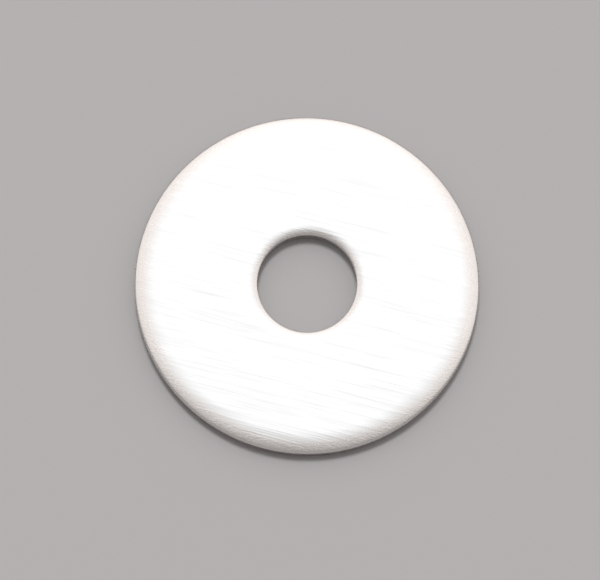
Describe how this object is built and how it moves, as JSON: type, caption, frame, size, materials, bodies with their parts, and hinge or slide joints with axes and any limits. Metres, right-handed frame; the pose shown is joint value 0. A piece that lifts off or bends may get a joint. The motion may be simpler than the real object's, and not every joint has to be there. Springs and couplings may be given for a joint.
{
  "type": "flat washer",
  "caption": "Large-series flat washer for an M8 bolt: a broad stamped stainless ring with a small bore, both edges rolled over on the upper face.",
  "frame": {"origin": "centre of the bore at the flat underside, which is the face that the washer lies on", "axes": "+Z along the bore axis, up out of the face with the rolled edges; +X along the brushed grain, either way along it; +Y across it"},
  "size_m": [0.0298, 0.0298, 0.0015],
  "materials": {
    "brushed_stainless": "bright satin, straight belt-brushed grain across both faces, burnished and torn shear bands on the rim and in the bore"
  },
  "bodies": {
    "root": {"flat_washer": "brushed_stainless"}
  },
  "joints": []
}
